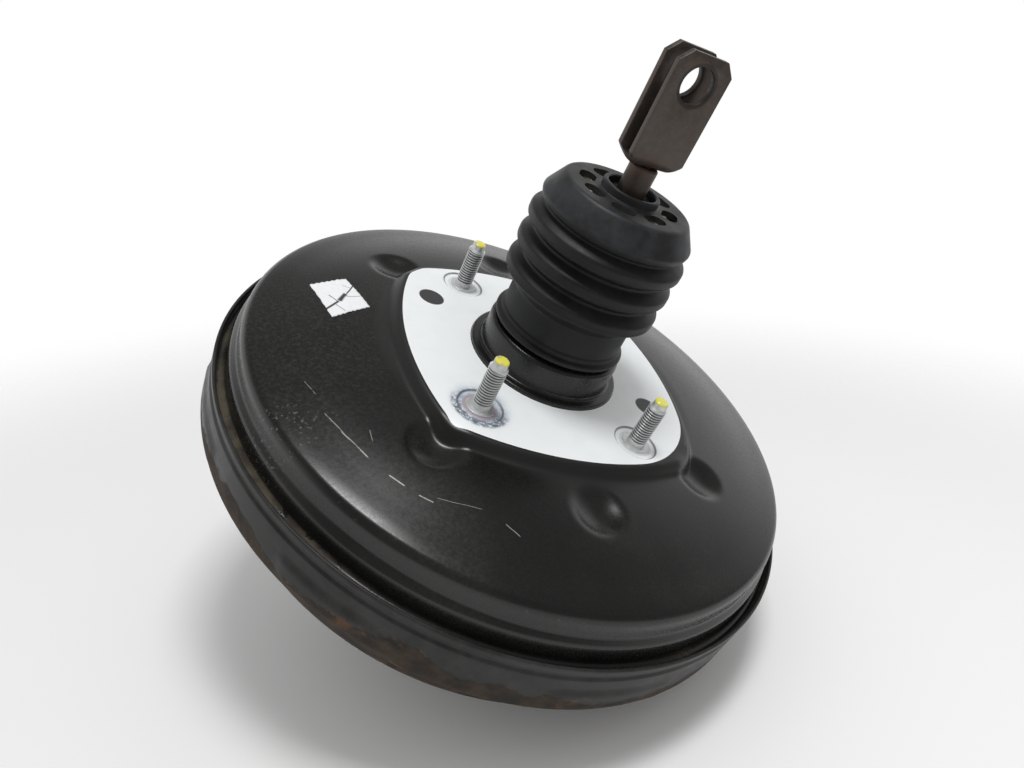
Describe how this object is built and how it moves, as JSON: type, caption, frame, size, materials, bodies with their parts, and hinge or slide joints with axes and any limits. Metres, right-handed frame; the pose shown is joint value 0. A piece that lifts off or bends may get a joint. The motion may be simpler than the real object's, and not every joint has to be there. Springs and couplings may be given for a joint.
{
  "type": "vacuum brake booster",
  "caption": "Vacuum brake booster: crimped two-part steel drum with firewall studs, ribbed rubber boot, push rod with clevis, diaphragm, control valve and check valve inside.",
  "frame": {"origin": "centre of the four firewall studs, in the plane of the raised land that bolts to the firewall", "axes": "+Z along the booster's axis towards the brake pedal; X and Y along the sides of the firewall studs' rectangle"},
  "size_m": [0.2782, 0.2782, 0.2765],
  "materials": {
    "black_paint": "gloss",
    "rusted_shell": "satin",
    "zinc_stud": "satin",
    "zinc_steel": "satin",
    "bare_steel": "satin",
    "spring_steel": "satin",
    "black_rubber": "matte",
    "nylon": "matte",
    "phenolic": "matte",
    "black_plastic": "satin",
    "felt": "matte",
    "foam": "matte"
  },
  "bodies": {
    "housing": {"rear_shell": "black_paint", "front_shell": "rusted_shell", "firewall_studs": "zinc_stud", "master_cylinder_studs": "zinc_stud", "rear_backing_plate": "bare_steel", "front_backing_plate": "bare_steel", "neck_seal": "black_rubber", "neck_guide": "nylon", "seal_retainer": "nylon", "diaphragm": "black_rubber", "return_spring": "spring_steel", "dust_boot": "black_rubber", "check_valve_grommet": "black_rubber", "check_valve_housing": "black_plastic", "check_valve_spring": "spring_steel"},
    "power_piston": {"diaphragm_plate": "bare_steel", "valve_body": "phenolic", "stop_key": "bare_steel", "reaction_disc": "black_rubber", "output_rod": "zinc_steel", "output_rod_cup": "bare_steel", "poppet_valve": "black_rubber", "poppet_retainer": "bare_steel", "poppet_spring": "spring_steel", "rod_return_spring": "spring_steel", "air_filter": "felt", "silencer": "foam"},
    "plunger": {"valve_plunger": "zinc_steel"},
    "input_rod": {"input_rod": "zinc_steel", "clevis": "zinc_steel"},
    "check_disc": {"check_valve_disc": "black_rubber"}
  },
  "joints": [
    {"name": "power_piston_slide", "type": "slide", "parent": "housing", "child": "power_piston", "axis": [0, 0, -1], "range_m": [0, 0.03], "stiffness_N_per_m": 4000, "springref_m": -0.02, "deforming": ["return_spring", "diaphragm", "dust_boot"]},
    {"name": "plunger_slide", "type": "slide", "parent": "power_piston", "child": "plunger", "axis": [0, 0, -1], "range_m": [0, 0.002], "stiffness_N_per_m": 2000, "springref_m": -0.01, "deforming": ["rod_return_spring", "poppet_spring"]},
    {"name": "input_rod_tilt", "type": "hinge", "parent": "plunger", "child": "input_rod", "pos_m": [0, 0, 0.008], "axis": [0.2419, -0.9703, 0], "range_deg": [-2.5, 2.5], "stiffness_Nm_per_rad": 2},
    {"name": "check_valve_lift", "type": "slide", "parent": "housing", "child": "check_disc", "axis": [0, 0, -1], "range_m": [0, 0.0015], "stiffness_N_per_m": 60, "springref_m": -0.003, "deforming": ["check_valve_spring"]}
  ]
}
